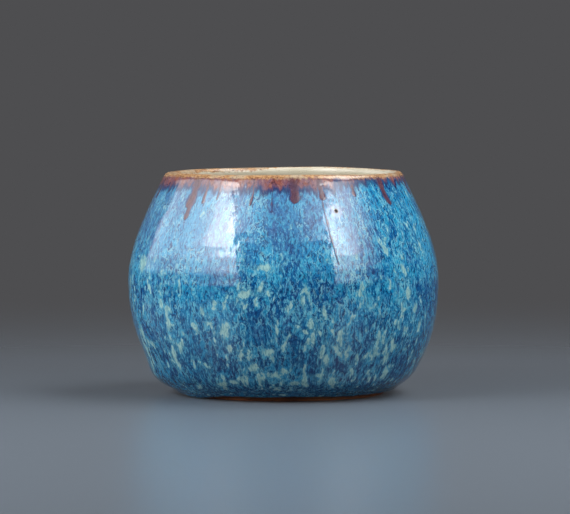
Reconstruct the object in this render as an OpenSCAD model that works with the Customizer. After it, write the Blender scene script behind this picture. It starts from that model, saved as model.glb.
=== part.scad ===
// Squat wheel-thrown stoneware vase: a fired clay body on a turned foot ring, with each of its glaze coats
// as a shell of its own. Millimetres, +Z up, origin at the centre of the foot's resting face.

/* [Body] */
// Widest diameter, over the glaze
belly_d = 120; // [90:1:150]
// Height from the resting face to the top of the lip
height = 86; // [66:1:106]
// Wall thickness at the belly, over the glaze on both faces
wall_t = 4.8; // [3.8:0.2:5.6]

/* [Foot ring] */
// Outer diameter of the foot ring, as a share of the widest diameter
foot_share = 0.65; // [0.5:0.01:0.65]
// Width of the ring's resting face
foot_w = 6; // [4:0.5:9]
// Height of the recess inside the ring
foot_h = 2; // [1.5:0.1:2.2]

/* [Glaze] */
// Thickness of the outer glaze at the belly
glaze_t = 0.55; // [0.3:0.05:0.8]
// How far the gathered roll at the lower edge stands proud
roll_t = 0.5; // [0.2:0.05:0.8]
// How far the iron runs stand proud of the blue glaze
run_t = 0.2; // [0.1:0.05:0.4]

/* [Hidden] */

clay_colour = "#6b4228";
roll_colour = "#2b5f86";
blue_colour = "#2f7fb5";
rust_colour = "#6e3524";
gold_colour = "#c79a5e";
cream_colour = "#d8d0b8";

// The outline is drawn for these sizes and then scaled to the driving ones.
drawn_r = 60;
drawn_h = 86;
drawn_wall = 4.8;
scale_r = belly_d / 2 / drawn_r;
scale_z = height / drawn_h;

// How far a wall that isn't the drawn thickness moves the inside out.
thinner = drawn_wall - wall_t / scale_r;

// The glazed surface as cubic Bezier stretches of [radius, height] that meet smoothly, from the glaze's
// lower edge up the outside, over the lip and down the inside to the centre of the floor.
stretches = [
    [[39.6, 1.7], [44.2, 2.0], [49.2, 6.1], [51.0, 9.3]],       // turn above the foot
    [[51.0, 9.3], [57.3, 20.6], [60.0, 29.5], [60.0, 43.8]],    // lower belly
    [[60.0, 43.8], [60.0, 57.2], [52.3, 71.4], [47.4, 82.0]],   // shoulder
    [[47.4, 82.0], [46.6, 83.7], [45.8, 86.0], [44.2, 86.0]],   // outside of the lip
    [[44.2, 86.0], [43.1, 86.0], [42.2, 85.2], [42.6, 83.6]],   // inside of the lip
    [[42.6, 83.6], [46.0, 70.0], [55.2, 59.0], [55.2, 43.8]],   // inside of the shoulder
    [[55.2, 43.8], [55.2, 24.0], [47.0, 8.2], [26.0, 7.6]],     // inside of the belly
    [[26.0, 7.6], [18.0, 7.37], [9.0, 7.4], [0.0, 7.4]]         // floor
];
last = len(stretches) - 1;

// Places along the outline, as a stretch's number plus the share of that stretch, and its steps per stretch.
roll_top = 0.4;
skin_bottom = 2.3;
band_bottom = 2.9;
band_top = 3.4;
liner_start = 4.8;
outline_end = len(stretches);
steps = 10;

// Glaze thickness as a share of glaze_t, by place: heavy low down, thin over the lip.
thickness_share = [[0, 1.7], [1, 1.5], [2, 1], [3, 0.5], [4, 0.35], [5, 0.6], [6, 0.9], [7, 1.1], [8, 1.1]];

// Share of the wall's thinning that the inside takes, by place: none at the lip, all of it at the belly.
thinning_share = [[4, 0], [6, 1], [7, 0.6], [8, 0]];

// Iron runs below the band: [direction from +X in degrees, length down the shoulder, width].
runs = [
    [225, 12.5, 2.8], [233.5, 8, 2.2], [240, 6, 1.6], [256, 8.5, 2.0], [265, 9.5, 1.2],
    [275.5, 6, 4.0], [287, 20, 1.8], [303, 4, 1.6], [325, 7, 2.4], [349, 4.6, 2.4],
    [8, 10, 2.0], [28, 7, 3.2], [49, 13, 1.8], [68, 7.5, 2.6], [86, 5, 2.0],
    [106, 10, 2.4], [126, 6, 3.4], [147, 14, 1.8], [168, 7, 2.6], [194, 5.5, 2.0]
];
// Steps down each side of a run, how far it reaches up under the band, and how much its top spreads.
run_steps = 8;
run_rise = 1;
run_spread = 0.8;

// Broken edges and taper of the foot ring.
foot_ease = 0.5;
foot_taper = 0.4;

// Point at share t of a cubic Bezier, and the direction of travel there.
function bezier(p, t) =
    pow(1 - t, 3) * p[0] + 3 * pow(1 - t, 2) * t * p[1] + 3 * (1 - t) * t * t * p[2] + pow(t, 3) * p[3];
function bezier_slope(p, t) =
    pow(1 - t, 2) * (p[1] - p[0]) + 2 * (1 - t) * t * (p[2] - p[1]) + t * t * (p[3] - p[2]);

// Number of the stretch that holds place u.
function stretch_of(u) = min(floor(u), last);

// Point on the glazed surface at place u, and the unit direction out of the glaze there.
function surface_point(u) =
    bezier(stretches[stretch_of(u)], u - stretch_of(u)) + [thinner * lookup(u, thinning_share), 0];
function outward(u) =
    let (along = bezier_slope(stretches[stretch_of(u)], u - stretch_of(u)))
    [along[1], -along[0]] / norm(along);

// Point on the clay under the glaze, and a point that stands proud of the glaze.
function clay_point(u) = surface_point(u) - outward(u) * glaze_t * lookup(u, thickness_share);
function proud_point(u, proud) = surface_point(u) + outward(u) * proud;

// Places from one to another, both included.
function places(from, to) =
    let (count = round((to - from) * steps))
    [for (i = [0 : count]) from + (to - from) * i / count];

function reversed(list) = [for (i = [len(list) - 1 : -1 : 0]) list[i]];

// Scales drawn points to the driving sizes.
function sized(points) = [for (p = points) [max(p[0], 0) * scale_r, p[1] * scale_z]];

// Solid of revolution between an outer line and an inner line of drawn points.
module ring_between(outer_line, inner_line) {
    rotate_extrude($fn = 144) polygon(sized(concat(outer_line, reversed(inner_line))));
}

// Glaze between two places on the outline.
module coat(from, to) {
    along = places(from, to);
    ring_between([for (u = along) surface_point(u)], [for (u = along) clay_point(u)]);
}

// Thrown wall and floor, in one fired piece.
module clay_body() {
    underside = [[0, foot_h / scale_z], [foot_share * drawn_r - foot_taper / scale_r, foot_h / scale_z]];
    clay = [for (u = places(0, outline_end)) clay_point(u)];
    color(clay_colour) ring_between(clay, reversed(underside));
}

// Turned foot ring under the floor, with broken edges at its resting face.
module foot_ring() {
    outer = foot_share * belly_d / 2;
    inner = outer - foot_w;
    section = [
        [inner + foot_ease, 0], [outer - foot_ease, 0], [outer, foot_ease], [outer - foot_taper, foot_h],
        [inner, foot_h], [inner, foot_ease]
    ];
    color(clay_colour) rotate_extrude($fn = 144) polygon(section);
}

// Fat edge where the glaze ran down and stopped above the foot.
module glaze_roll() {
    along = places(0, roll_top);
    swollen = [for (u = along) proud_point(u, roll_t * sin(180 * u / roll_top))];
    color(roll_colour) ring_between(swollen, [for (u = along) clay_point(u)]);
}

module outer_glaze() { color(blue_colour) coat(roll_top, band_bottom); }
module iron_band() { color(rust_colour) coat(band_bottom, band_top); }
module lip_glaze() { color(gold_colour) coat(band_top, liner_start); }
module liner_glaze() { color(cream_colour) coat(liner_start, outline_end); }

// Thin skin over the shoulder, which the runs are cut from.
module shoulder_skin() {
    along = places(skin_bottom, band_bottom);
    ring_between([for (u = along) proud_point(u, run_t)], [for (u = along) surface_point(u)]);
}

// Half width of a run at share q of its length, from its spread top to its rounded tip.
function run_half(q, width) = width / 2 * (sqrt(1 - q * q) + run_spread * pow(1 - q, 4));

// Front view of one run, hanging from the band's lower edge.
module run_outline(length, width) {
    top = surface_point(band_bottom)[1] * scale_z + run_rise;
    side = [
        for (i = [0 : run_steps])
            let (q = sin(90 * i / run_steps))
            [run_half(q, width), top - q * length]
    ];
    mirrored = [for (i = [run_steps - 1 : -1 : 0]) [-side[i][0], side[i][1]]];
    polygon(concat(side, mirrored));
}

// Runs of the band's iron glaze down the shoulder, each a solid of its own.
module iron_runs() {
    color(rust_colour)
    for (run = runs)
        intersection() {
            shoulder_skin();
            rotate([0, 0, run[0]]) rotate([90, 0, 90])
                linear_extrude(height = belly_d) run_outline(run[1], run[2]);
        }
}

clay_body();
foot_ring();
glaze_roll();
outer_glaze();
iron_band();
iron_runs();
lip_glaze();
liner_glaze();
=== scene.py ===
"""The looks of a squat stoneware vase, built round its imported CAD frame.

Every coat of the vase is one closed shell between two surfaces: the glazed surface, drawn as an outline and
then disturbed the way a potter's hands and a kiln disturb it, and the clay just beneath it. Lengths are in
millimetres until mesh_object() turns them into metres. Directions round the vase are measured from the
front (-Y), positive towards +X; places along the outline count Bezier stretches from the glaze's lower edge.
"""

import itertools
import math

import bpy
import numpy as np
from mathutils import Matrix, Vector

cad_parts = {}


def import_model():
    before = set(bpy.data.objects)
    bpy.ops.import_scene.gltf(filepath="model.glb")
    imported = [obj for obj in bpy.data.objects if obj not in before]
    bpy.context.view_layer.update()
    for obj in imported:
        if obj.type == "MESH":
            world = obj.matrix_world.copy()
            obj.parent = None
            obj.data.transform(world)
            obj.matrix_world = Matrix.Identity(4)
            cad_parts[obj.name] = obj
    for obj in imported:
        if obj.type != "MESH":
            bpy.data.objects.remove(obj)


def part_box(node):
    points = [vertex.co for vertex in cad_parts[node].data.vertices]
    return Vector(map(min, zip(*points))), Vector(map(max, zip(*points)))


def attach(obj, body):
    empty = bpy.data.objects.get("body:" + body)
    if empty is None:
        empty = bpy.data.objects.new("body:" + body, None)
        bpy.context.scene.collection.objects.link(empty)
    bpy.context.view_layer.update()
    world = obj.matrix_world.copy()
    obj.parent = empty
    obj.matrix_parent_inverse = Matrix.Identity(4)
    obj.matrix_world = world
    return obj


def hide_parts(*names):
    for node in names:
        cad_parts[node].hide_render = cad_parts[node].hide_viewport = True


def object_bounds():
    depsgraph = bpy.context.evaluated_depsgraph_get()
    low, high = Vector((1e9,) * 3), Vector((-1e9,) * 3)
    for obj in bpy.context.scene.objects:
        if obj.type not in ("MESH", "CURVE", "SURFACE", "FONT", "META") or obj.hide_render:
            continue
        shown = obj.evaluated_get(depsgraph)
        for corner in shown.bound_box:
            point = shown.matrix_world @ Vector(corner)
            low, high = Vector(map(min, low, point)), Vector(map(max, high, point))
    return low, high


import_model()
cad_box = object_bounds()

# ---------------------------------------------------------------- the outline

DRAWN_R, DRAWN_H = 60.0, 86.0
STRETCHES = np.array([
    [[39.6, 1.7], [44.2, 2.0], [49.2, 6.1], [51.0, 9.3]],       # turn above the foot
    [[51.0, 9.3], [57.3, 20.6], [60.0, 29.5], [60.0, 43.8]],    # lower belly
    [[60.0, 43.8], [60.0, 57.2], [52.3, 71.4], [47.4, 82.0]],   # shoulder
    [[47.4, 82.0], [46.6, 83.7], [45.8, 86.0], [44.2, 86.0]],   # outside of the lip
    [[44.2, 86.0], [43.1, 86.0], [42.2, 85.2], [42.6, 83.6]],   # inside of the lip
    [[42.6, 83.6], [46.0, 70.0], [55.2, 59.0], [55.2, 43.8]],   # inside of the shoulder
    [[55.2, 43.8], [55.2, 24.0], [47.0, 8.2], [26.0, 7.6]],     # inside of the belly
    [[26.0, 7.6], [18.0, 7.37], [9.0, 7.4], [0.0, 7.4]],        # floor
])
ROLL_TOP, BAND_BOTTOM, BAND_TOP, CREST, LINER_START, OUTLINE_END = 0.4, 2.9, 3.4, 4.0, 4.8, 8.0
COAT_AT = [0, 1, 2, 3, 4, 5, 6, 7, 8]
# Thickness of the glaze at those places along the outline.
COAT_THICKNESS = [0.94, 0.83, 0.55, 0.28, 0.19, 0.33, 0.5, 0.6, 0.6]

MM = 0.001
half_width = (cad_box[1].x - cad_box[0].x) / 2 / MM
full_height = (cad_box[1].z - cad_box[0].z) / MM
foot_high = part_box("foot_ring")[1]
FOOT_R, FOOT_H, FOOT_WIDTH = foot_high.x / MM, foot_high.z / MM, 6.0
to_size = np.array([half_width / DRAWN_R, half_width / DRAWN_R, full_height / DRAWN_H])


def outline(u):
    """Points [radius, height] and outward directions at places u along the outline."""
    u = np.asarray(u, float)
    k = np.minimum(np.floor(u).astype(int), len(STRETCHES) - 1)
    t = (u - k)[..., None]
    p = np.moveaxis(STRETCHES[k], -2, 0)
    point = (1 - t) ** 3 * p[0] + 3 * (1 - t) ** 2 * t * p[1] + 3 * (1 - t) * t * t * p[2] + t ** 3 * p[3]
    along = (1 - t) ** 2 * (p[1] - p[0]) + 2 * (1 - t) * t * (p[2] - p[1]) + t * t * (p[3] - p[2])
    along /= np.linalg.norm(along, axis=-1, keepdims=True)
    return point, np.stack([along[..., 1], -along[..., 0]], axis=-1)


fine_u = np.linspace(0, OUTLINE_END, 4001)
fine_steps = np.linalg.norm(np.diff(outline(fine_u)[0], axis=0), axis=1)
fine_length = np.concatenate([[0], np.cumsum(fine_steps)])
fine_drop = np.interp(CREST, fine_u, fine_length) - fine_length


def drop(u):
    """Distance along the surface from the lip's crest: positive down the outside, negative inside."""
    return np.interp(u, fine_u, fine_drop)


def place_at(distance):
    """Place on the outline at a drop from the crest."""
    return np.interp(-np.asarray(distance, float), -fine_drop, fine_u)


def place_at_height(z):
    """Place on the outside at a height."""
    outside = fine_u <= CREST
    return np.interp(z, outline(fine_u[outside])[0][:, 1], fine_u[outside])


# ---------------------------------------------------------------- what hands and kiln did to it

# Large odd numbers that scramble a lattice point's place into its value.
HASH_STEPS, HASH_SEED, HASH_MIX = np.array([374761393, 668265263, 2147483647]), 974634777, 1274126177


def lattice_noise(points, seed):
    """Smooth noise between -1 and 1 at each point, the same on every run."""
    points = np.asarray(points, float)
    cell = np.floor(points).astype(np.int64)
    part = points - cell
    ease = part * part * (3 - 2 * part)
    total = np.zeros(points.shape[:-1])
    for corner in itertools.product((0, 1), repeat=3):
        mixed = np.sum((cell + corner) * HASH_STEPS, axis=-1) + seed * HASH_SEED
        mixed = (mixed ^ (mixed >> 13)) * HASH_MIX & 0xFFFFFFFF
        value = ((mixed ^ (mixed >> 16)) & 0xFFFF) / 0x7FFF - 1
        total += value * np.prod(np.where(corner, ease, 1 - ease), axis=-1)
    return total


# How far down the wall the glaze starts to pile up, and over what length it does.
PILE_UP, PILED = 84.0, 14.0


def flow_of(front, u):
    """Seamless coordinates of the glaze's flow: round the vase in x and y, down it in z.

    Near the foot, where the flow slowed, they run faster down the wall and slower round it, so that its
    marks lie squeezed together and drawn out sideways.
    """
    front, d = np.broadcast_arrays(front, drop(u))
    piled = np.clip((d - PILE_UP) / PILED, 0, 1) ** 2
    radius = DRAWN_R * (1 - 0.4 * piled)
    return np.stack([radius * np.sin(front), -radius * np.cos(front), d + PILED * piled], axis=-1)


def bump(x):
    """Smooth rise and fall: 1 at 0, 0 beyond 1 either side."""
    return np.clip(1 - np.asarray(x, float) ** 2, 0, 1) ** 2


def turn_between(a, b):
    """Signed angle from b to a, the short way round."""
    return (np.asarray(a) - b + math.pi) % (2 * math.pi) - math.pi


# Pinhole in the glaze, droop at the foot, slumped corner above it and finger mark: direction from the
# front, and for some a place, a drop from the crest or half a size.
PINHOLE_AT, PINHOLE_U, PINHOLE_R = math.radians(22.6), place_at_height(72.7), 0.75
DROOP_AT = math.radians(-54)
SLUMP_AT = math.radians(-86)
MARK_AT, MARK_DROP = math.radians(90), drop(place_at_height(13.0))
MARK_WALL_R, MARK_ACROSS, MARK_DOWN = 53, 5.0, 5.5
THROWING_PITCH = 5.4
LOWEST_GLAZE = 0.12


def warp(front, u):
    """Slow unevenness of the thrown form, [outward, upward], which clay and glaze share."""
    point = outline(u)[0]
    high = point[..., 1] / DRAWN_H
    ring = np.sin(drop(u) / THROWING_PITCH * 2 * math.pi + front + 0.7 * np.sin(2 * front))
    rings = 0.04 * ring * bump((high - 0.45) / 0.5)
    oval = -0.25 * np.cos(2 * front) * high
    full = 0.45 * bump((high - 0.16) / 0.3) * np.sin(front)
    lip = high ** 6 * (0.14 * np.sin(front) + 0.20 * np.sin(2 * front + 2.1) + 0.10 * np.sin(5 * front + 0.4))
    return rings + oval + full, lip


def lower_edge(front):
    """Place where the glaze stopped above the foot, which wanders round the vase."""
    steady = 0.07 + 0.05 * np.sin(2 * front + 2.4) + 0.045 * np.sin(5 * front + 0.9)
    steady = steady + 0.03 * np.sin(9 * front) + 0.022 * np.sin(17 * front + 1.3)
    return np.clip(steady, 0.0, 0.2) * (1 - bump(turn_between(front, DROOP_AT) / 0.45))


def finger_mark(front, down):
    """1 in the middle of the mark that a finger left low on the side, 0 outside it."""
    across = turn_between(front, MARK_AT) * MARK_WALL_R / MARK_ACROSS
    return bump(np.hypot(across, (down - MARK_DROP) / MARK_DOWN))


def relief(front, u):
    """Height of the glazed surface over its even thickness.

    It has the roll at the edge, the droop and the slump above it, rivulets, skin, pinhole and finger mark.
    """
    flow = flow_of(front, u)
    down = drop(u)
    from_edge = drop(lower_edge(front)) - down
    roll = 0.42 * bump((from_edge - 1.6) / 2.6)
    near_edge = bump(np.clip(from_edge - 1.0, 0, None) / 9.0)
    droop = 1.25 * bump(turn_between(front, DROOP_AT) / 0.42) * near_edge
    droop = droop + 1.1 * bump(turn_between(front, SLUMP_AT) / 0.7) * bump((from_edge - 11) / 12.0)
    outside = np.clip(down / 8.0, 0, 1)
    rivulets = 0.06 * lattice_noise(flow * [0.16, 0.16, 0.03], 3) * outside
    skin = 0.035 * lattice_noise(flow * [0.32, 0.32, 0.16], 5) * outside
    pin = flow_of(np.array(PINHOLE_AT), np.array(PINHOLE_U))
    away = np.linalg.norm((flow - pin) * [0.87, 0.87, 1.0], axis=-1)
    pit = -0.35 * bump(away / PINHOLE_R)
    return roll + droop + rivulets + skin + pit - 0.35 * finger_mark(front, down)


def place(front, radius, height):
    """Points in space for directions from the front, radii and heights, at the frame's size."""
    x, y = radius * np.sin(front), -radius * np.cos(front)
    return np.stack(np.broadcast_arrays(x, y, height), axis=-1) * to_size


def surface(front, u, proud=0.0, glazed=True):
    """Points on the glazed surface, or on the clay under it, standing proud by some amount."""
    point, out = outline(u)
    lift = relief(front, u) if glazed else -np.interp(u, COAT_AT, COAT_THICKNESS)
    lift = lift + proud
    outward, upward = warp(front, u)
    radius = point[..., 0] + out[..., 0] * lift + outward * np.clip(point[..., 0] / 20, 0, 1)
    height = point[..., 1] + out[..., 1] * lift + upward
    return place(front, np.maximum(radius, 0), np.maximum(height, LOWEST_GLAZE))


# ---------------------------------------------------------------- iron, pale patches

# Runs of iron glaze: direction from the front in degrees, drop of the tip, width, sideways drift.
RUNS = [
    (-44, 15, 4.2, -0.2), (-43.5, 19.8, 2.2, -0.8), (-37, 13, 1.8, -0.2), (-30, 11, 1.2, -0.3),
    (-13.5, 13.4, 1.4, -1), (-5, 16, 0.8, 0.2), (5, 12.4, 4.2, 0), (17, 11.4, 2.6, 0.6),
    (17, 37, 0.8, 4), (33, 10, 1.8, 0.3), (51, 13.6, 2.8, 2.6), (79, 10.6, 3, 1.6),
    (98, 16, 2.4, 0.6), (118, 12.5, 4, -0.6), (139, 20, 2.2, 1.2), (158, 13.5, 3.2, 0.4),
    (176, 11, 2.4, -0.4), (196, 16, 2.8, -1), (216, 12, 4.2, 0.6), (237, 20, 2.2, -1.4),
    (258, 13, 3, 0.5), (284, 11.5, 2.4, -0.6),
]
# Where the runs leave the band, as a drop from the crest.
RUN_START = 5.6

# The plainest pale patches of the front: direction in degrees, height, width, length down the wall, lean.
FRONT_PATCHES = [
    (-22, 28, 4.5, 7, 0.1), (-21, 21, 2.5, 4, 0), (10, 31, 3, 5, 0.2), (11, 26, 2, 8, 0),
    (8, 28, 2.5, 2.5, -0.9), (15, 35, 2, 6, -0.2), (7, 40, 2, 4.5, 0.1), (-12, 14, 4.5, 4.5, 0),
    (52, 41, 3, 6, 0), (57, 35, 3, 5, 0.2), (48, 10, 3, 5, 0.8), (-48, 30, 3, 7, 0.1),
    (-51, 37, 3, 5, 0), (-49, 19, 2, 6, 0.1), (-70, 24, 3, 9, 0), (-73, 12, 2.5, 6, 0.1),
    (-28, 7, 4.5, 3, 0.5), (-22, 8, 3.5, 3, -0.4), (5, 8, 4.5, 2.5, 0.6), (15, 11, 4.5, 2, 0.7),
    (17, 17, 2.5, 6, 0), (34, 18, 2, 4.5, 0.7), (-8, 45, 2, 4.5, 0.3), (62, 28, 2.5, 6, 0.2),
    (-6, 20, 5, 3.5, 0.3), (-65, 52, 7, 7, 0), (-14, 42, 6, 3.5, 0.3), (-7, 52, 7, 3, 0),
    (50, 50, 3, 6, -0.4), (42, 58, 3, 5, -0.3),
]
# The patch field in the middle of a cluster.
CLUSTER_GROUND = -0.1

# Clusters of small pale marks on the front: direction in degrees, height, width and length.
FRONT_CLUSTERS = [
    (-4, 52, 19, 8), (-8, 43, 12, 9), (-16, 39, 10, 7), (39, 22, 17, 11), (-9, 9, 26, 7), (18, 10, 28, 8),
    (-58, 38, 12, 12), (23, 54, 8, 7), (17, 22, 11, 14), (49, 39, 14, 14), (-29, 35, 15, 11),
    (-47, 21, 11, 16), (7, 35, 16, 11), (31, 39, 11, 12), (61, 60, 12, 16), (-64, 52, 12, 14),
]


def scattered_marks(seed, count, least, most):
    """Marks for the sides and back, each of the kinds of number above drawn evenly from least to most."""
    return np.random.default_rng(seed).uniform(least, most, (count, len(least)))


PATCHES = [*FRONT_PATCHES, *scattered_marks(5, 18, (78, 5, 2.5, 4, -0.2), (282, 58, 4.5, 8, 0.4))]
CLUSTERS = [*FRONT_CLUSTERS, *scattered_marks(8, 14, (76, 8, 12, 8), (284, 54, 26, 18))]


def run_path(run):
    """A run's direction and half width, in mm on the widest circle, at a share of the way to its tip."""
    degrees, tip, width, drift = run

    def at(share):
        meander = 0.06 * width * np.sin(share * 5 + degrees)
        middle = math.radians(degrees) * DRAWN_R + drift * share ** 2 + meander
        to_tip = (1 - share) * (tip - RUN_START) / (0.6 * width)
        cap = np.sqrt(1 - np.clip(1 - to_tip, 0, 1) ** 2)
        body = 0.72 + 0.38 * bump((share - 0.75) / 0.6)
        neck = 0.6 * np.clip(1 - share * 3, 0, 1) ** 2
        return middle, width / 2 * cap * (body + neck)

    return at


def iron_field(front, u):
    """How much a run of iron colours the glaze: 1 down its middle, 0 at its edge, below 0 beyond."""
    down = drop(u)
    field = np.full(np.broadcast(front, down).shape, -3.0)
    for run in RUNS:
        share = np.clip((down - RUN_START) / (run[1] - RUN_START), -0.2, None)
        middle, half = run_path(run)(np.clip(share, 0, 1))
        across = np.abs(turn_between(front, middle / DRAWN_R)) * DRAWN_R
        beyond = np.clip(share - 1, 0, None) * (run[1] - RUN_START)
        half = np.maximum(half, 0.25)
        strength = np.clip(run[2] / 2 - 0.3, 0, 1)
        field = np.maximum(field, strength - (np.hypot(across, beyond) / half) ** 1.5)
    return np.clip(np.maximum(field, 1.8 * finger_mark(front, down) - 1.1), -3, 1)


def patch_field(front, u):
    """The same for the pale patches; in a cluster it lies just low enough to leave some of the blue."""
    down = drop(u)
    field = np.full(np.broadcast(front, down).shape, -3.0)
    for degrees, height, width, length in CLUSTERS:
        at = place_at_height(height)
        across = turn_between(front, math.radians(degrees)) * outline(at)[0][0]
        away = np.hypot(across / width, (down - drop(at)) / length) * 2
        field = np.maximum(field, CLUSTER_GROUND - 1.6 * np.clip(away - 0.4, 0, None))
    for degrees, height, width, length, lean in PATCHES:
        at = place_at_height(height)
        below = down - drop(at)
        radius = outline(at)[0][0]
        across = turn_between(front, math.radians(degrees)) * radius + lean * below
        field = np.maximum(field, 1 - np.hypot(across / width * 2, below / length * 2))
    return np.clip(field, -3, 1)


# ---------------------------------------------------------------- mesh tools

def mesh_object(name, points, faces, flow=None, iron=None, patch=None):
    """A smooth-shaded object from points in mm, carrying what its materials read."""
    mesh = bpy.data.meshes.new(name)
    mesh.from_pydata((points * MM).tolist(), [], faces)
    mesh.validate()
    if flow is not None:
        mesh.attributes.new("flow", "FLOAT_VECTOR", "POINT").data.foreach_set("vector", flow.ravel())
    for label, values in (("iron", iron), ("patch", patch)):
        if values is not None:
            mesh.attributes.new(label, "FLOAT", "POINT").data.foreach_set("value", values.ravel())
    mesh.shade_smooth()
    mesh.set_sharp_from_angle(angle=math.radians(50))
    piece = bpy.data.objects.new(name, mesh)
    bpy.context.collection.objects.link(piece)
    return piece


def wall_faces(rows, columns, closed):
    """Quads between rings of points, each ring wrapping round; closed joins the last ring to the first."""
    faces = []
    for i in range(rows if closed else rows - 1):
        a, b = i * columns, (i + 1) % rows * columns
        faces += [(a + j, a + (j + 1) % columns, b + (j + 1) % columns, b + j) for j in range(columns)]
    return faces


def fan(ring_start, columns, tip, flip):
    """Triangles from a ring to a tip on the axis."""
    order = [(ring_start + j, ring_start + (j + 1) % columns, tip) for j in range(columns)]
    return [tri[::-1] for tri in order] if flip else order


def dress(piece, slot, material, *nodes):
    """Gives a piece its material, hangs it under the root, and hides the frame's parts that it takes the
    place of.
    """
    piece.data.materials.append(material)
    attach(piece, "root")
    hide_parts(*nodes)


# ---------------------------------------------------------------- the coats

# Directions of the coats' columns of points: even steps round the vase, with more packed at the pinhole.
COLUMNS = np.union1d(
    np.linspace(-math.pi, math.pi, 441),
    np.linspace(PINHOLE_AT - 0.030, PINHOLE_AT + 0.030, 24),
)[:-1]
# Half the stretch of outline with more rows at a focus, and the share of a coat between its last two rows.
FOCUS_REACH = 0.034
EDGE_STRIP = 0.0008
# Last ring of points before the axis, on the floor.
LAST_RING = 7.94
# Top of the glazed floor on the axis, and the flow there.
FLOOR_TOP, AXIS_FLOW = STRETCHES[-1][-1][1], [0, 0, -124]


def coat(name, from_u, to_u, rows, clay_rows=10, wander=False, focus=None):
    """Closed ring of glaze between two places, with its surface outside and the clay's face inside."""
    steps = np.linspace(0, 1, rows)
    if focus is not None:
        packed = np.linspace(focus - FOCUS_REACH, focus + FOCUS_REACH, 22)
        steps = np.union1d(steps, (packed - from_u) / (to_u - from_u))
    steps = np.union1d(steps, [EDGE_STRIP, 1 - EDGE_STRIP])
    start = lower_edge(COLUMNS) if wander else np.full(len(COLUMNS), from_u)
    face_u = start + (to_u - start) * steps[:, None]
    back_u = start + (to_u - start) * np.linspace(1, 0, clay_rows)[:, None]
    front_points = surface(COLUMNS, face_u)
    back_points = surface(COLUMNS, back_u, glazed=False)
    points, places = [front_points, back_points], [face_u, back_u]
    if wander:
        points.append(rounded_edge(front_points[0], back_points[-1], front_points[1]))
        places.append(np.repeat(start[None], len(points[-1]), axis=0))
    points, places = np.concatenate(points), np.concatenate(places)
    count = len(points)
    return mesh_object(
        name,
        points.reshape(-1, 3),
        wall_faces(count, len(COLUMNS), True),
        flow_of(COLUMNS, places).reshape(-1, 3),
        iron_field(COLUMNS, places),
        patch_field(COLUMNS, places),
    )


def rounded_edge(glazed, clay, inward):
    """Rings that round the glaze's lower edge over from the clay to its surface."""
    middle, half = (glazed + clay) / 2, (glazed - clay) / 2
    size = np.linalg.norm(half, axis=-1, keepdims=True)
    away = glazed - inward
    away = away / np.maximum(np.linalg.norm(away, axis=-1, keepdims=True), 1e-6)
    angles = np.linspace(math.pi, 0, 9)[1:-1]
    rings = np.array([middle + half * math.cos(a) + away * size * 0.7 * math.sin(a) for a in angles])
    rings[..., 2] = np.maximum(rings[..., 2], LOWEST_GLAZE)
    return rings


def liner():
    """Cream coat of the inside wall and floor, closed on the axis."""
    face_u = np.concatenate([np.linspace(LINER_START, 7.0, 70), np.linspace(7.05, LAST_RING, 12)])
    face_u = np.union1d(face_u, [LINER_START + 0.004])
    back_u = np.linspace(LAST_RING, LINER_START, 24)
    columns = COLUMNS[::2]
    points = np.concatenate([
        surface(columns, face_u[:, None]), surface(columns, back_u[:, None], glazed=False)
    ]).reshape(-1, 3)
    places = np.concatenate([face_u, back_u])
    count, n = len(columns), len(face_u)
    tips = np.array([[0, 0, FLOOR_TOP], [0, 0, FLOOR_TOP - COAT_THICKNESS[-1]]]) * to_size
    faces = wall_faces(n, count, False)
    below = wall_faces(len(back_u), count, False)
    faces += [tuple(v + n * count for v in face) for face in below]
    last = (n + len(back_u) - 1) * count
    faces += [(last + j, last + (j + 1) % count, (j + 1) % count, j) for j in range(count)]
    faces += fan((n - 1) * count, count, len(points), False)
    faces += fan(n * count, count, len(points) + 1, True)
    flow = np.concatenate([flow_of(columns, places[:, None]).reshape(-1, 3), [AXIS_FLOW, AXIS_FLOW]])
    return mesh_object("cream_liner", np.concatenate([points, tips]), faces, flow)


def iron_run(run):
    """One run as a lens of glaze that thins to nothing at its edge and swells towards its tip."""
    at = run_path(run)
    share = np.linspace(-0.06, 1, 40)
    across = np.linspace(-1, 1, 13)
    middle, half = at(np.clip(share, 0, 1))
    half = np.maximum(half, 0.02)
    front = (middle[:, None] + across * half[:, None]) / DRAWN_R
    u = place_at(RUN_START + share * (run[1] - RUN_START))[:, None] + 0 * front
    swell = (0.04 + 0.07 * np.clip(share, 0, 1) ** 2) * min(1, run[2] / 2)
    rise = swell * bump((share - 0.72) / 0.78) + 0.004
    upper = surface(front, u, rise[:, None] * (1 - across ** 2) + 0.003)
    lower = surface(front, u, -0.06)
    rows, cols = front.shape
    points = np.concatenate([upper.reshape(-1, 3), lower.reshape(-1, 3)])
    flow = np.tile(flow_of(front, u).reshape(-1, 3), (2, 1))
    iron = np.tile(iron_field(front, u).ravel(), 2)
    patch = np.tile(patch_field(front, u).ravel(), 2)
    return points, lens_faces(rows, cols), flow, iron, patch


def lens_faces(rows, cols):
    """Faces of a sheet, the same sheet beneath it facing the other way, and the rim between them."""
    sheet = rows * cols
    faces = []
    for i in range(rows - 1):
        for j in range(cols - 1):
            a = i * cols + j
            quad = (a, a + cols, a + cols + 1, a + 1)
            faces += [quad, tuple(v + sheet for v in quad[::-1])]
    rim = list(range(cols)) + [i * cols + cols - 1 for i in range(1, rows)]
    rim += [(rows - 1) * cols + j for j in range(cols - 2, -1, -1)]
    rim += [i * cols for i in range(rows - 2, 0, -1)]
    for a, b in zip(rim, rim[1:] + rim[:1]):
        faces.append((a, b, b + sheet, a + sheet))
    return faces


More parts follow.
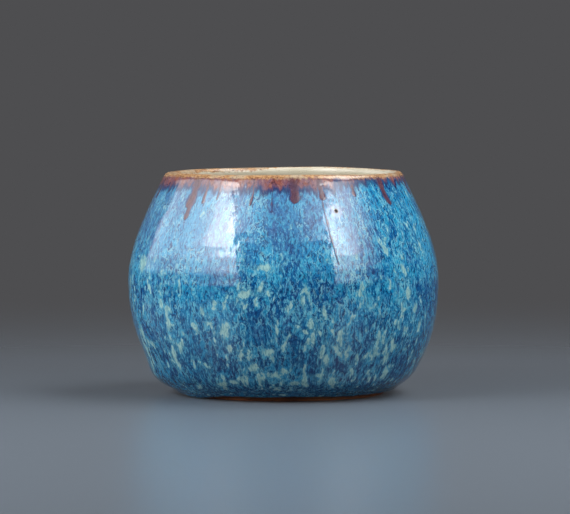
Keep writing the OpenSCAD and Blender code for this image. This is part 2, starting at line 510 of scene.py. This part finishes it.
def iron_runs():
    """All the runs as one piece of separate solids."""
    parts, start, faces = [], 0, []
    for run in RUNS:
        points, run_faces, flow, iron, patch = iron_run(run)
        faces += [tuple(v + start for v in face) for face in run_faces]
        start += len(points)
        parts.append((points, flow, iron, patch))
    points, flow, iron, patch = (np.concatenate(column) for column in zip(*parts))
    return mesh_object("iron_runs_glaze", points, faces, flow, iron, patch)


def clay():
    """Thrown wall and floor under the glaze, closed on the axis above and below."""
    columns = np.linspace(-math.pi, math.pi, 241)[:-1]
    wall_u = np.concatenate([np.linspace(0, 1, 24), np.linspace(1.1, LAST_RING, 76)])
    wall = surface(columns, wall_u[:, None], glazed=False)
    ring_inside = FOOT_R - FOOT_WIDTH
    base_r = np.array([1.5, 4.0, 9.0, 16.0, 24.0, ring_inside - 1.0, ring_inside, FOOT_R - 0.4])
    grooves = 0.10 * np.sin(base_r[:, None] * 1.9 + columns)
    base = place(columns, base_r[:, None] / to_size[0], (FOOT_H + grooves) / to_size[2])
    points = np.concatenate([base, wall]).reshape(-1, 3)
    rows, count = len(base) + len(wall), len(columns)
    tips = np.array([[0, 0, FOOT_H], [0, 0, (FLOOR_TOP - COAT_THICKNESS[-1]) * to_size[2]]])
    faces = wall_faces(rows, count, False)
    faces += fan(0, count, len(points), True) + fan((rows - 1) * count, count, len(points) + 1, False)
    return mesh_object("thrown_clay", np.concatenate([points, tips]), faces)


def foot():
    """Turned ring, with the tool's lines round it and edges broken by hand."""
    columns = np.linspace(-math.pi, math.pi, 361)[:-1]
    outer, inner = FOOT_R, FOOT_R - FOOT_WIDTH
    section = np.array([
        (inner + 0.8, 0.0), (inner + 2.0, 0.0), (inner + 3.2, 0.0), (inner + 4.4, 0.0),
        (outer - 0.7, 0.0), (outer - 0.35, 0.08), (outer - 0.1, 0.3), (outer - 0.03, 0.7),
        (outer - 0.12, 1.1), (outer - 0.2, 1.5), (outer - 0.4, FOOT_H), (inner + 3.0, FOOT_H),
        (inner, FOOT_H), (inner, 1.0), (inner + 0.1, 0.4), (inner + 0.4, 0.1),
    ])
    lines = 0.05 * np.sin(section[:, :1] * 3 + section[:, 1:] * 5 + columns)
    around = (DRAWN_R * np.sin(columns), -DRAWN_R * np.cos(columns), section[:, 1:] * 2)
    grain = lattice_noise(np.stack(np.broadcast_arrays(*around), axis=-1) * 0.22, 11)
    chips = 0.16 * np.clip(grain - 0.35, 0, 1)
    radius = section[:, :1] + lines - chips
    height = np.where(section[:, 1:] > 0.05, section[:, 1:] + lines * 0.5, 0.0) + 0 * columns
    points = place(columns, radius / to_size[0], np.minimum(height, FOOT_H) / to_size[2])
    return mesh_object("turned_foot", points.reshape(-1, 3), wall_faces(len(section), len(columns), True))


# ---------------------------------------------------------------- material tools

def linear(colour):
    """Linear value of an sRGB colour given as eight-bit numbers."""
    parts = [c / 255 for c in colour]
    return tuple(c / 12.92 if c <= 0.04045 else ((c + 0.055) / 1.055) ** 2.4 for c in parts) + (1.0,)


class Shader:
    """A material's node tree, with one short method for each kind of node."""

    def __init__(self, name):
        self.material = bpy.data.materials.new(name)
        self.material.use_nodes = True
        self.tree = self.material.node_tree
        self.surface = self.tree.nodes["Principled BSDF"]

    def node(self, kind, **settings):
        made = self.tree.nodes.new(kind)
        for key, value in settings.items():
            setattr(made, key, value)
        return made

    def join(self, source, target):
        """Sets an input to a value, or links a socket to it."""
        if isinstance(source, bpy.types.NodeSocket):
            self.tree.links.new(source, target)
        else:
            target.default_value = source

    def attribute(self, name):
        made = self.node("ShaderNodeAttribute", attribute_name=name)
        return made.outputs["Vector"] if name == "flow" else made.outputs["Fac"]

    def scaled(self, vector, x, y, z):
        made = self.node("ShaderNodeVectorMath", operation="MULTIPLY")
        self.join(vector, made.inputs[0])
        made.inputs[1].default_value = (x, y, z)
        return made.outputs[0]

    def shifted(self, vector, amount, other):
        """vector plus amount times other."""
        made = self.node("ShaderNodeVectorMath", operation="MULTIPLY_ADD")
        self.join(other, made.inputs[0])
        made.inputs[1].default_value = amount
        self.join(vector, made.inputs[2])
        return made.outputs[0]

    def sized(self, vector, factor):
        """vector times a single socket."""
        made = self.node("ShaderNodeVectorMath", operation="SCALE")
        self.join(vector, made.inputs[0])
        self.join(factor, made.inputs["Scale"])
        return made.outputs[0]

    def noise(self, vector, scale, detail=2.0, roughness=0.5, colour=False):
        made = self.node("ShaderNodeTexNoise")
        self.join(vector, made.inputs["Vector"])
        for label, value in (("Scale", scale), ("Detail", detail), ("Roughness", roughness)):
            made.inputs[label].default_value = value
        return made.outputs["Color" if colour else "Fac"]

    def cells(self, vector, scale):
        """Distance to the nearest of many scattered points."""
        made = self.node("ShaderNodeTexVoronoi", feature="F1")
        self.join(vector, made.inputs["Vector"])
        made.inputs["Scale"].default_value = scale
        return made.outputs["Distance"]

    def math(self, operation, a, b=0.0, c=0.0):
        made = self.node("ShaderNodeMath", operation=operation)
        for source, target in zip((a, b, c), made.inputs):
            self.join(source, target)
        return made.outputs[0]

    def step(self, value, low, high):
        """0 below low, 1 above high, smooth between; reversed when high is the smaller."""
        made = self.node("ShaderNodeMapRange", interpolation_type="SMOOTHSTEP")
        flip = low > high
        self.join(value, made.inputs["Value"])
        made.inputs["From Min"].default_value = min(low, high)
        made.inputs["From Max"].default_value = max(low, high)
        made.inputs["To Min"].default_value = 1.0 if flip else 0.0
        made.inputs["To Max"].default_value = 0.0 if flip else 1.0
        return made.outputs["Result"]

    def mix(self, share, a, b, blend="MIX"):
        made = self.node("ShaderNodeMix", data_type="RGBA", blend_type=blend)
        self.join(share, made.inputs[0])
        self.join(linear(a) if isinstance(a, tuple) else a, made.inputs[6])
        self.join(linear(b) if isinstance(b, tuple) else b, made.inputs[7])
        return made.outputs[2]

    def bumped(self, height, distance, normal=None):
        """Normal of a surface that a height from 0 to 1 lifts by up to a distance in metres."""
        made = self.node("ShaderNodeBump")
        made.inputs["Strength"].default_value = 1.0
        made.inputs["Distance"].default_value = distance
        self.join(height, made.inputs["Height"])
        if normal is not None:
            self.join(normal, made.inputs["Normal"])
        return made.outputs["Normal"]

    def finish(self, colour, roughness, normal, **plain):
        self.join(colour, self.surface.inputs["Base Color"])
        self.join(roughness, self.surface.inputs["Roughness"])
        self.join(normal, self.surface.inputs["Normal"])
        for label, value in plain.items():
            self.surface.inputs[label.replace("_", " ")].default_value = value
        return self.material


# ---------------------------------------------------------------- materials

def flow_parts(s, flow):
    """What the outside's colours share: place across and down, the flow bent about, and its dashes."""
    split = s.node("ShaderNodeSeparateXYZ")
    s.join(flow, split.inputs[0])
    sway = s.noise(s.scaled(flow, 0.09, 0.09, 0.05), 1.0, 2, colour=True)
    bent = s.shifted(flow, (5.0, 5.0, 6.0), sway)
    swirl = s.noise(s.scaled(flow, 0.42, 0.42, 0.30), 1.0, 2, colour=True)
    straight = s.step(split.outputs["Z"], 74.0, 50.0)
    swirl = s.sized(swirl, s.math("MULTIPLY_ADD", straight, 0.6, 0.4))
    bent = s.shifted(bent, (2.0, 2.0, 3.2), swirl)
    dash = s.noise(s.scaled(bent, 1.3, 1.3, 0.5), 1.0, 3, 0.6)
    return split.outputs["X"], split.outputs["Z"], bent, dash


def ridge(s, value, middle, near, far):
    """1 where a value is close to the middle one, 0 further off: a thin worming line."""
    away = s.math("ABSOLUTE", s.math("SUBTRACT", value, middle))
    return s.step(away, far, near)


def blue_colour(s, bent, dash, low, patch):
    """Blue glaze: deep cobalt and azure, worming pale lines round blue hearts, and grey-green patches."""
    broad = s.noise(s.scaled(bent, 0.075, 0.075, 0.05), 1.0, 2)
    hue = s.noise(s.scaled(bent, 0.24, 0.24, 0.13), 1.0, 2)
    blob = s.noise(s.scaled(bent, 0.46, 0.46, 0.23), 1.0, 2, 0.55)
    cluster = s.noise(s.scaled(bent, 0.15, 0.15, 0.10), 1.0, 2)
    fleck = s.noise(s.scaled(bent, 2.3, 2.3, 1.0), 1.0, 2, 0.6)

    colour = s.mix(s.step(broad, 0.36, 0.64), (0, 84, 138), (12, 130, 178))
    colour = s.mix(s.math("MULTIPLY", low, 0.76), colour, (4, 66, 104))
    colour = s.mix(s.math("MULTIPLY", s.step(hue, 0.54, 0.68), 0.36), colour, (66, 96, 140))
    colour = s.mix(s.math("MULTIPLY", s.step(blob, 0.49, 0.62), 0.55), colour, (38, 150, 186))
    colour = s.mix(s.math("MULTIPLY", s.step(dash, 0.48, 0.38), 0.88), colour, (0, 44, 92))
    milky = s.step(patch, -2.9, -0.9)
    paler = s.math("MULTIPLY_ADD", milky, 0.34, 0.46)
    colour = s.mix(s.math("MULTIPLY", s.step(dash, 0.53, 0.64), paler), colour, (96, 174, 196))

    worm = s.math("MULTIPLY", ridge(s, blob, 0.53, 0.012, 0.04), s.step(cluster, 0.44, 0.58))
    colour = s.mix(s.math("MULTIPLY", worm, 0.5), colour, (134, 192, 196))
    crack = s.math("MULTIPLY", ridge(s, blob, 0.465, 0.006, 0.024), s.step(cluster, 0.40, 0.60))
    colour = s.mix(s.math("MULTIPLY", crack, 0.75), colour, (10, 44, 88))
    colour = s.mix(s.math("MULTIPLY", s.step(fleck, 0.58, 0.70), 0.4), colour, (140, 192, 204))
    colour = s.mix(s.math("MULTIPLY", s.step(fleck, 0.42, 0.32), 0.5), colour, (8, 42, 84))

    colour = s.mix(low, colour, (194, 224, 240), "MULTIPLY")
    ragged = s.math("MULTIPLY_ADD", s.noise(s.scaled(bent, 0.9, 0.9, 0.5), 1.0, 3, 0.65), 2.0, -1.0)
    placed = s.math("ADD", patch, ragged)
    scattered = s.noise(s.scaled(bent, 0.30, 0.30, 0.17), 1.0, 3, 0.6)
    scattered = s.math("MULTIPLY_ADD", low, 0.05, scattered)
    scattered = s.math("MULTIPLY_ADD", milky, 0.07, s.math("SUBTRACT", scattered, 0.032))
    halo = s.math("MAXIMUM", s.step(placed, -0.45, 0.25), s.step(scattered, 0.575, 0.65))
    heart = s.math("MAXIMUM", s.step(placed, 0.05, 0.40), s.step(scattered, 0.64, 0.69))
    colour = s.mix(s.math("MULTIPLY", halo, 0.5), colour, (76, 156, 180))
    pale = s.mix(s.step(dash, 0.40, 0.58), (110, 154, 158), (152, 188, 182))
    return s.mix(s.math("MULTIPLY", heart, 0.85), colour, pale)


def iron_colour(s, bent):
    """Iron-rich glaze where the coat is thin: red-brown, clouded with mauve, with near-black flecks."""
    fleck = s.noise(s.scaled(bent, 0.9, 0.9, 0.7), 1.0, 4, 0.65)
    cloud = s.noise(s.scaled(bent, 0.35, 0.35, 0.3), 1.0, 2)
    colour = s.mix(s.step(cloud, 0.40, 0.60), (126, 70, 56), (112, 78, 88))
    colour = s.mix(s.math("MULTIPLY", s.step(fleck, 0.46, 0.34), 0.85), colour, (62, 34, 40))
    return s.mix(s.math("MULTIPLY", s.step(fleck, 0.52, 0.66), 0.5), colour, (160, 118, 106))


def lip_colour(s, flow):
    """Glaze worn thin over the lip by its own flow: buff to gold, pitted and flecked with brown."""
    grain = s.noise(s.scaled(flow, 0.8, 0.8, 1.3), 1.0, 4, 0.6)
    patchy = s.noise(s.scaled(flow, 0.13, 0.13, 0.2), 1.0, 3, 0.55)
    colour = s.mix(s.step(grain, 0.34, 0.6), (120, 79, 48), (178, 140, 99))
    colour = s.mix(s.math("MULTIPLY", s.step(patchy, 0.46, 0.6), 0.75), colour, (170, 155, 132))
    pits = s.noise(s.scaled(flow, 1.2, 1.2, 1.9), 1.0, 2, 0.5)
    return s.mix(s.math("MULTIPLY", s.step(pits, 0.42, 0.34), 0.85), colour, (74, 46, 34))


def liner_colour(s, flow):
    """Cream liner with faint clouding and fine iron specks."""
    cloud = s.noise(s.scaled(flow, 0.06, 0.06, 0.06), 1.0, 3)
    colour = s.mix(s.step(cloud, 0.36, 0.64), (180, 174, 155), (191, 185, 168))
    speck = s.cells(s.scaled(flow, 0.55, 0.55, 0.75), 1.0)
    colour = s.mix(s.math("MULTIPLY", s.step(speck, 0.13, 0.06), 0.7), colour, (108, 84, 60))
    tint = s.noise(s.scaled(flow, 1.2, 1.2, 1.2), 1.0, 2)
    return s.mix(s.math("MULTIPLY", s.step(tint, 0.58, 0.74), 0.4), colour, (182, 160, 128))


def glaze_relief(s, flow, dash):
    """Normal of the fired skin: a slight orange peel, and dashes that stand a hair proud."""
    peel = s.noise(s.scaled(flow, 0.42, 0.42, 0.26), 1.0, 2)
    normal = s.bumped(peel, 0.00008)
    return s.bumped(dash, 0.00001, normal=normal)


# How much thinner the iron band is on the right, and how much further the gold stains the left, in mm.
THIN_BAND, GOLD_STAIN = 2.6, 1.6


def pinhole(s, flow, colour):
    """Colours the burst bubble high on the front: a dark hole in a pale healed ring."""
    hole = flow_of(np.array(PINHOLE_AT), np.array(PINHOLE_U))
    away = s.node("ShaderNodeVectorMath", operation="DISTANCE")
    s.join(flow, away.inputs[0])
    away.inputs[1].default_value = tuple(float(part) for part in hole)
    away = away.outputs["Value"]
    colour = s.mix(s.math("MULTIPLY", s.step(away, 3.4, 2.0), 0.45), colour, (166, 176, 196))
    colour = s.mix(s.math("MULTIPLY", s.step(away, 1.2, 0.9), 0.8), colour, (146, 122, 108))
    return s.mix(s.math("MULTIPLY", s.step(away, 0.85, 0.55), 0.95), colour, (34, 30, 36))


def lip_edges(s, flow, across, down):
    """Drop of the gold's ragged edge, and how far the cream takes over inside it, less so on the left."""
    ragged = s.math("MULTIPLY_ADD", s.noise(s.scaled(flow, 0.6, 0.6, 0.6), 1.0, 3, 0.6), 3.4, -1.7)
    edge = s.math("ADD", down, ragged)
    stained = s.math("MULTIPLY_ADD", s.step(across, 2.0, -22.0), GOLD_STAIN, edge)
    return edge, s.step(stained, -0.3, -1.2)


def outside_glaze():
    """The coats of the outside and lip, whose colours run into each other down the wall."""
    s = Shader("running_glaze")
    flow, iron, patch = s.attribute("flow"), s.attribute("iron"), s.attribute("patch")
    across, down, bent, dash = flow_parts(s, flow)
    colour = blue_colour(s, bent, dash, s.step(down, 30.0, 85.0), patch)
    # Painted sheen: a pale grey-blue haze over the upper wall, everywhere but on the right side, standing in
    # for the lights' reflection.
    painted_sheen = s.math("MULTIPLY", s.step(down, 46.0, 16.0), s.step(across, 44.0, 26.0))
    colour = s.mix(s.math("MULTIPLY", painted_sheen, 0.2), colour, (128, 150, 178))

    fingers = s.noise(s.scaled(flow, 0.36, 0.36, 0.12), 1.0, 3, 0.55)
    wander = s.noise(s.scaled(flow, 0.10, 0.10, 0.05), 1.0, 2)
    reach = s.math("MULTIPLY_ADD", fingers, 10.0, s.math("MULTIPLY_ADD", wander, 5.0, -7.5))
    level = s.math("SUBTRACT", down, reach)
    level = s.math("MULTIPLY_ADD", s.step(across, 12.0, 34.0), THIN_BAND, level)
    ragged = s.math("MULTIPLY_ADD", s.noise(s.scaled(bent, 0.7, 0.7, 0.4), 1.0, 3, 0.6), 2.0, -1.0)
    run = s.math("ADD", iron, ragged)
    bruise = s.math("MAXIMUM", s.step(level, 9.6, 7.0), s.step(run, -1.0, -0.1))
    colour = s.mix(s.math("MULTIPLY", bruise, 0.85), colour, (38, 40, 82))
    rusty = s.math("MAXIMUM", s.step(level, 7.0, 4.4), s.math("MULTIPLY", s.step(run, -0.3, 0.5), 0.85))
    iron_paint = s.mix(s.math("MULTIPLY", s.step(run, -0.2, 0.6), 0.62), iron_colour(s, bent), (58, 32, 42))
    colour = s.mix(s.math("MULTIPLY", rusty, 0.92), colour, iron_paint)
    edge, creamy = lip_edges(s, flow, across, down)
    colour = s.mix(s.step(edge, 3.2, 1.6), colour, lip_colour(s, flow))
    colour = s.mix(creamy, colour, liner_colour(s, flow))
    colour = pinhole(s, flow, colour)

    rough = s.math("MULTIPLY_ADD", s.step(down, 4.0, 1.0), 0.22, 0.07)
    return s.finish(colour, rough, glaze_relief(s, flow, dash), IOR=1.52)


def inside_glaze():
    """The cream coat of the inside, golden where it meets the lip."""
    s = Shader("cream_glaze")
    flow = s.attribute("flow")
    split = s.node("ShaderNodeSeparateXYZ")
    s.join(flow, split.inputs[0])
    creamy = lip_edges(s, flow, split.outputs["X"], split.outputs["Z"])[1]
    colour = s.mix(creamy, lip_colour(s, flow), liner_colour(s, flow))
    peel = s.noise(s.scaled(flow, 0.5, 0.5, 0.5), 1.0, 2)
    return s.finish(colour, 0.28, s.bumped(peel, 0.0001), IOR=1.5)


def bare_clay():
    """Unglazed stoneware: toasted brown, gritty, with dark iron specks."""
    s = Shader("bare_stoneware")
    where = s.node("ShaderNodeTexCoord").outputs["Object"]
    cloud = s.noise(where, 70.0, 3)
    grit = s.noise(where, 1400.0, 3, 0.6)
    speck = s.cells(where, 520.0)
    colour = s.mix(s.step(cloud, 0.35, 0.65), (112, 62, 38), (158, 96, 60))
    colour = s.mix(s.math("MULTIPLY", s.step(grit, 0.55, 0.7), 0.5), colour, (156, 104, 70))
    colour = s.mix(s.math("MULTIPLY", s.step(speck, 0.2, 0.1), 0.7), colour, (36, 22, 16))
    normal = s.bumped(grit, 0.00012)
    return s.finish(colour, 0.82, normal)


# ---------------------------------------------------------------- the vase

glaze, cream, stoneware = outside_glaze(), inside_glaze(), bare_clay()

rolled_edge = coat("rolled_edge_glaze", 0.0, ROLL_TOP, 26, wander=True)
blue_coat = coat("blue_glaze_coat", ROLL_TOP, BAND_BOTTOM, 150, focus=PINHOLE_U)
band = coat("iron_band_glaze", BAND_BOTTOM, BAND_TOP, 12, 3)
lip = coat("lip_break_glaze", BAND_TOP, LINER_START, 28, 8)

dress(rolled_edge, "glaze_roll", glaze, "glaze_roll")
dress(blue_coat, "blue_glaze", glaze, "outer_glaze")
dress(band, "iron_glaze", glaze, "iron_band")
dress(lip, "lip_glaze", glaze, "lip_glaze")
dress(iron_runs(), "iron_glaze", glaze, "iron_runs")
dress(liner(), "liner_glaze", cream, "liner_glaze")
dress(clay(), "bare_clay", stoneware, "clay_body")
dress(foot(), "bare_clay", stoneware, "foot_ring")

# ---------------------------------------------------------------- floor, light and camera

# All in metres. The floor is fully seen within the second distance of FLOOR_FADE and gone at the first.
FLOOR_R, FLOOR_CORNERS = 2.2, 96
FLOOR_COLOUR = (97, 106, 116)
FLOOR_MIDDLE, FLOOR_FADE = (0, -0.4, 0), (1.0, 0.2)
BACKDROP = (78, 78, 80)
CAMERA_AWAY, CAMERA_HEIGHT, CAMERA_TILT, CAMERA_SIDE = 1.6, 0.143, math.radians(3.228), 0.0006
LENS = 261.0
SOFTBOX_AWAY, SOFTBOX_FOOT, SOFTBOX_TOP = 0.6, 0.06, 0.61
# How gradually a softbox's inner edge and its window's side, sill and head begin or end.
EDGE_BLUR, SIDE_BLUR, SILL_BLUR, HEAD_BLUR = 0.012, 0.2, 0.014, 0.1
ABOVE_WINDOW = 0.3


def floor():
    """Plain round floor that fades into the backdrop's grey."""
    mesh = bpy.data.meshes.new("floor")
    turns = np.linspace(0, 2 * math.pi, FLOOR_CORNERS + 1)[:-1]
    corners = [(FLOOR_R * math.sin(a), -FLOOR_R * math.cos(a), 0) for a in turns]
    mesh.from_pydata(corners, [], [tuple(range(FLOOR_CORNERS))])
    piece = bpy.data.objects.new("floor", mesh)
    bpy.context.collection.objects.link(piece)
    s = Shader("floor_paper")
    where = s.node("ShaderNodeTexCoord").outputs["Object"]
    away = s.node("ShaderNodeVectorMath", operation="DISTANCE")
    s.join(where, away.inputs[0])
    away.inputs[1].default_value = FLOOR_MIDDLE
    s.surface.inputs["Base Color"].default_value = linear(FLOOR_COLOUR)
    s.surface.inputs["Roughness"].default_value = 0.3
    s.join(s.step(away.outputs["Value"], *FLOOR_FADE), s.surface.inputs["Alpha"])
    mesh.materials.append(s.material)


class Glow:
    """Brightness of an area light across its face, as a small tree of nodes in metres."""

    def __init__(self, light, outward):
        light.use_nodes = True
        self.tree = light.node_tree
        where = self.tree.nodes.new("ShaderNodeNewGeometry").outputs["Position"]
        along = self.tree.nodes.new("ShaderNodeVectorMath")
        along.operation = "DOT_PRODUCT"
        self.tree.links.new(where, along.inputs[0])
        along.inputs[1].default_value = outward
        split = self.tree.nodes.new("ShaderNodeSeparateXYZ")
        self.tree.links.new(where, split.inputs[0])
        self.along, self.up = along.outputs["Value"], split.outputs["Z"]

    def ramp(self, value, start, stop, at_start, at_stop):
        """A value that goes smoothly from at_start to at_stop as another rises from start to stop."""
        made = self.tree.nodes.new("ShaderNodeMapRange")
        made.interpolation_type = "SMOOTHSTEP"
        self.tree.links.new(value, made.inputs["Value"])
        settings = {"From Min": start, "From Max": stop, "To Min": at_start, "To Max": at_stop}
        for label, number in settings.items():
            made.inputs[label].default_value = number
        return made.outputs["Result"]

    def multiply_add(self, a, b, c=0.0):
        """a times b plus c, where each is a number or a socket."""
        made = self.tree.nodes.new("ShaderNodeMath")
        made.operation = "MULTIPLY_ADD"
        for source, target in zip((a, b, c), made.inputs):
            if isinstance(source, bpy.types.NodeSocket):
                self.tree.links.new(source, target)
            else:
                target.default_value = source
        return made.outputs[0]

    def set(self, brightness):
        self.tree.links.new(brightness, self.tree.nodes["Emission"].inputs["Strength"])


def area_light(name, size, centre, facing_from):
    """Area light that the camera doesn't see. Its brightness of 1 is that of lit white paper."""
    light = bpy.data.lights.new(name, "AREA")
    light.shape = "RECTANGLE"
    light.size, light.size_y = size
    light.energy = math.pi * size[0] * size[1]
    piece = bpy.data.objects.new(name, light)
    piece.location = centre
    piece.rotation_euler = facing_from.to_track_quat("Z", "Y").to_euler()
    piece.visible_camera = False
    bpy.context.collection.objects.link(piece)
    return light


def softbox(name, facing, inner, outer, lean, bright, full, fade, window):
    """Upright light in the direction `facing` from the vase, reaching from inner to outer along its foot.

    Its inner edge leans outward by `lean` for each metre up. `bright` is its brightness at that edge from
    the height `full` up, below which it dims. `fade` says where it starts and stops dimming outward, how
    far that drifts in for each metre down, and to what share. `window` is a brighter part at the inner
    edge: how far it reaches, where its sill and head are, and what it adds.
    """
    side = 1 if facing > 0 else -1
    turn = math.radians(facing)
    towards = Vector((math.sin(turn), -math.cos(turn), 0))
    outward = Vector((math.cos(turn), math.sin(turn), 0)) * side
    middle = Vector((0, 0, (SOFTBOX_TOP + SOFTBOX_FOOT) / 2))
    centre = towards * SOFTBOX_AWAY + outward * (inner + outer) / 2 + middle
    light = area_light(name, (outer - inner, SOFTBOX_TOP - SOFTBOX_FOOT), centre, towards)
    glow = Glow(light, outward)

    start, stop, drift, share = fade
    dimming = glow.multiply_add(glow.up, -drift, glow.along)
    steady = glow.ramp(dimming, start, stop, 1.0, share)
    steady = glow.multiply_add(steady, glow.ramp(glow.up, 0.0, full, 0.0, bright))
    reach, sill, head, added = window
    bright_window = glow.multiply_add(
        glow.ramp(glow.along, reach - SIDE_BLUR, reach, added, 0.0),
        glow.ramp(glow.up, sill - SILL_BLUR, sill + SILL_BLUR, 0.0, 1.0),
    )
    above = glow.ramp(glow.up, head, head + HEAD_BLUR, 1.0, ABOVE_WINDOW)
    bright_window = glow.multiply_add(bright_window, above)
    edge = glow.multiply_add(glow.up, -lean, glow.along)
    lit = glow.ramp(edge, inner, inner + EDGE_BLUR, 0.0, 1.0)
    glow.set(glow.multiply_add(glow.multiply_add(bright_window, 1.0, steady), lit))


def plain_light(name, azimuth, elevation, away, size, bright):
    """Makes an evenly bright light that looks at the vase, and returns it."""
    turn, rise = math.radians(azimuth), math.radians(elevation)
    towards = Vector((math.sin(turn) * math.cos(rise), -math.cos(turn) * math.cos(rise), math.sin(rise)))
    light = area_light(name, size, towards * away, towards)
    light.energy *= bright
    return light


def side_glow(name, azimuth, elevation, away, size, bright):
    """Light that looks at the vase and brightens from nothing at its inner side to `bright` at its outer."""
    turn = math.radians(azimuth)
    light = plain_light(name, azimuth, elevation, away, size, 1.0)
    glow = Glow(light, Vector((math.cos(turn), math.sin(turn), 0)) * (1 if azimuth > 0 else -1))
    glow.set(glow.ramp(glow.along, -size[0] / 2, size[0] / 2, 0.0, bright))


def world():
    """Even grey surroundings, as dim as the backdrop."""
    made = bpy.data.worlds.new("studio")
    made.use_nodes = True
    background = made.node_tree.nodes["Background"]
    background.inputs["Color"].default_value = linear(BACKDROP)
    background.inputs["Strength"].default_value = 1.0
    bpy.context.scene.world = made


def camera():
    """The photograph's view: far off, just above the lip, with the vase a hair left of centre."""
    data = bpy.data.cameras.new("camera")
    data.lens, data.sensor_width = LENS, 36.0
    data.clip_start, data.clip_end = 0.05, 50.0
    piece = bpy.data.objects.new("camera", data)
    piece.location = (CAMERA_SIDE, -CAMERA_AWAY, CAMERA_HEIGHT)
    piece.rotation_euler = (math.pi / 2 - CAMERA_TILT, 0, 0)
    bpy.context.collection.objects.link(piece)
    bpy.context.scene.camera = piece


floor()
softbox(
    "softbox_left", -60, inner=-0.37, outer=1.24, lean=0.33, bright=7.4, full=0.34,
    fade=(-0.3, 0.6, 0.0, 0.36), window=(0.16, 0.345, 0.55, 7.4),
)
softbox(
    "softbox_right", 55, inner=-0.19, outer=0.60, lean=0.0, bright=6.8, full=0.24,
    fade=(-0.47, 0.14, 0.7, 0.0), window=(0.13, 0.31, 0.42, 4.6),
)
side_glow("glow_left", -31, 46, 0.9, (0.46, 0.25), 4.6)
side_glow("glow_right", 28, 46, 0.9, (0.56, 0.25), 4.4)
plain_light("overhead", 95, 60, 0.9, (0.6, 0.36), 9.0)
world()
camera()
bpy.context.scene.view_settings.view_transform = "Standard"
